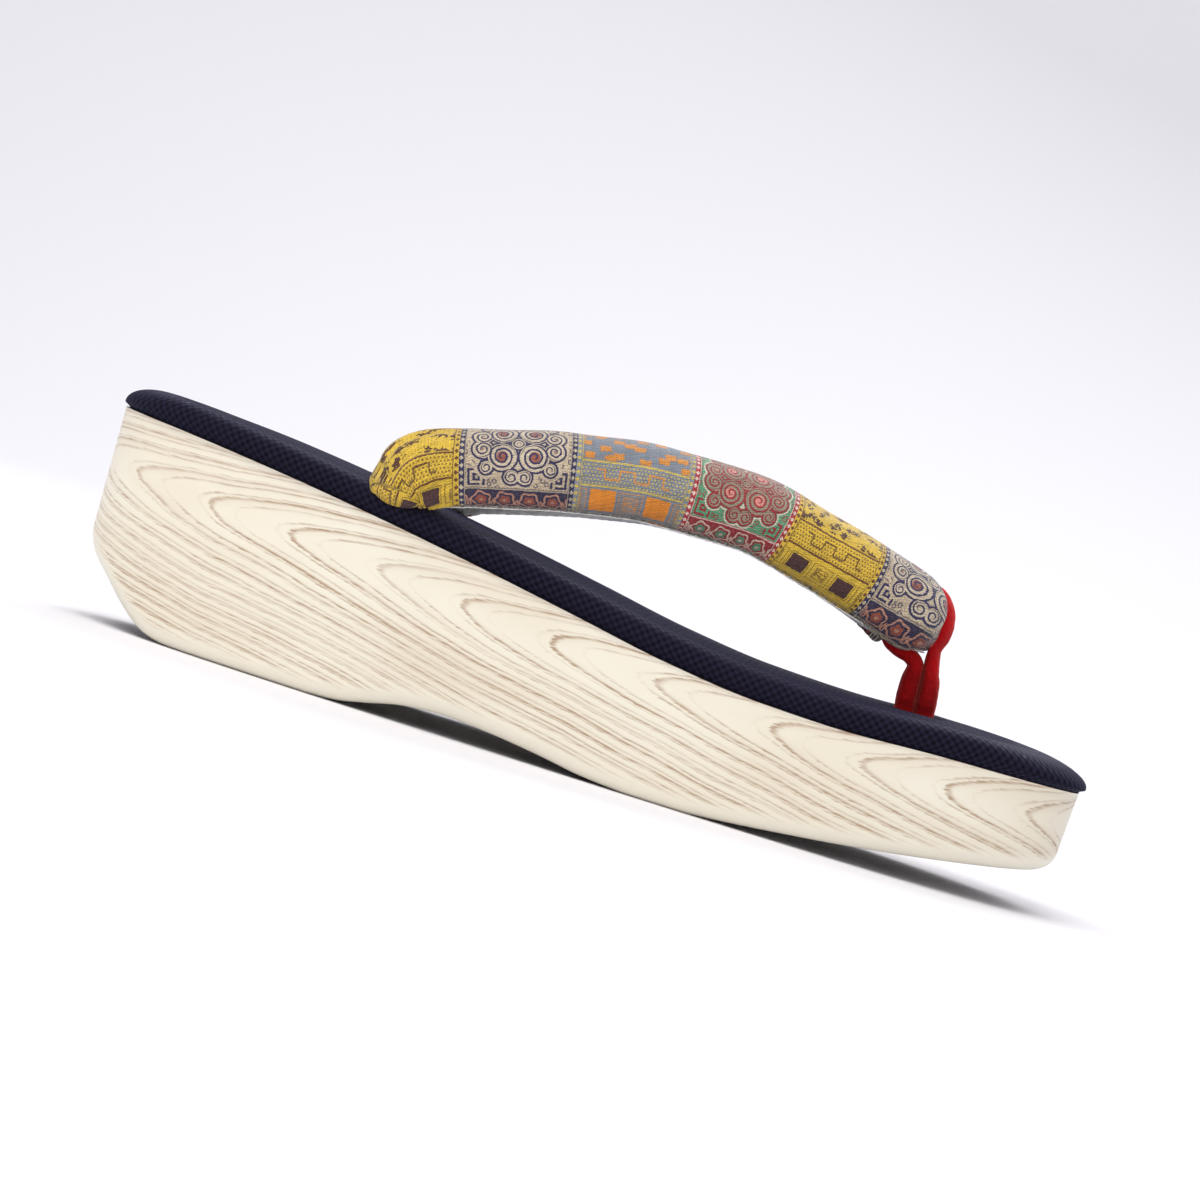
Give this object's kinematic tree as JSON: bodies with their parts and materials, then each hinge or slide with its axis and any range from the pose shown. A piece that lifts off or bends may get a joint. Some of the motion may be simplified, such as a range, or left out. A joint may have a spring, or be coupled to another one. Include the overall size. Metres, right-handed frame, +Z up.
{
  "type": "zori sandal",
  "caption": "Wedge zori sandal with a wood-look moulded block, dark cloth pad, stuffed brocade patchwork strap and red velvet front thong.",
  "frame": {"origin": "on the floor, under the middle of the sandal's length and width", "axes": "+X towards the toe, +Y towards the wearer's left, +Z up"},
  "size_m": [0.2446, 0.0886, 0.0791],
  "materials": {
    "wood_look_foam": "ivory moulded foam with printed wood grain, satin",
    "pad_cloth": "dark navy ribbed cloth",
    "brocade": "patchwork of woven brocade, yellow, beige, grey-blue and red",
    "felt": "white felt",
    "velvet": "red velvet"
  },
  "bodies": {
    "root": {"sole_block": "wood_look_foam", "footbed": "pad_cloth", "strap_cover": "brocade", "strap_lining": "felt", "front_thong": "velvet"}
  },
  "joints": []
}
